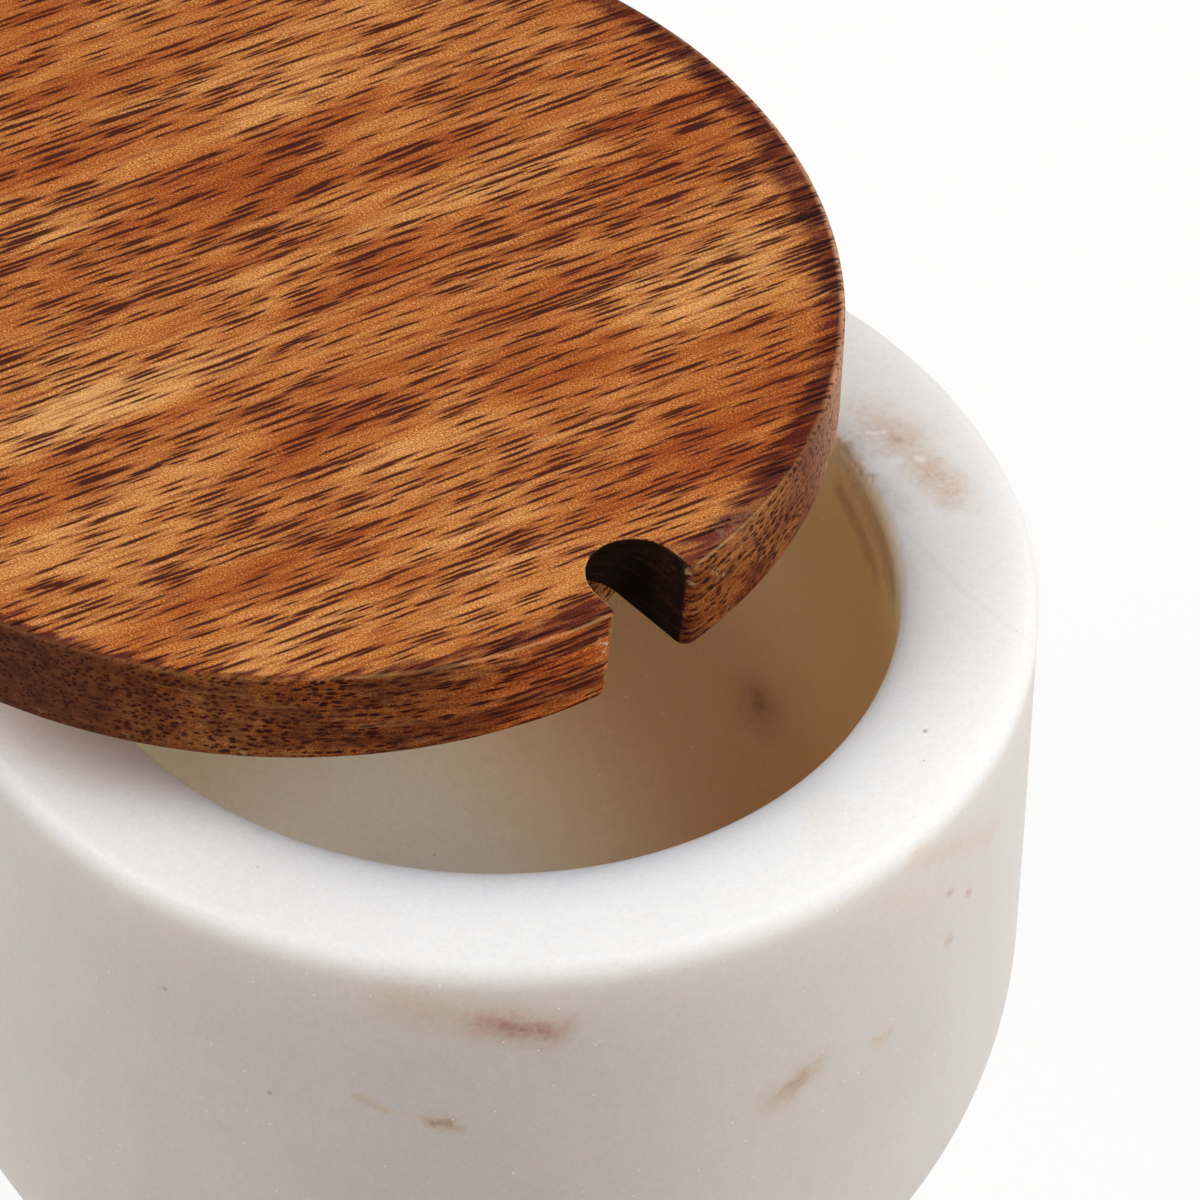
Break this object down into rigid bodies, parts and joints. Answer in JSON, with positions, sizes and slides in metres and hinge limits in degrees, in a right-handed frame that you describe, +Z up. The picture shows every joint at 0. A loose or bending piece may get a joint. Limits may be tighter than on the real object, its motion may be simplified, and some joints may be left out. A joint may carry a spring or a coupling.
{
  "type": "storage jar",
  "caption": "Thick-walled round stone storage jar with a rounded foot, and a lift-off wooden lid with a slanted spoon slot cut into its edge.",
  "frame": {"origin": "centre of the jar's flat base, on the surface it stands on", "axes": "+Z up along the jar's axis; the lid's spoon slot points to -Y; +X to the right seen from the slot side"},
  "size_m": [0.1055, 0.128, 0.0928],
  "materials": {
    "marble": "honed white marble with soft tan inclusions",
    "plate_wood": "oiled hardwood with dark pore dashes",
    "plug_wood": "oiled hardwood, sanded"
  },
  "bodies": {
    "jar": {"jar_body": "marble"},
    "lid": {"lid_plate": "plate_wood", "lid_plug": "plug_wood"}
  },
  "joints": [
    {"name": "lid_lift", "type": "slide", "parent": "jar", "child": "lid", "axis": [0, 0, 1], "range_m": [0, 0.08]}
  ]
}
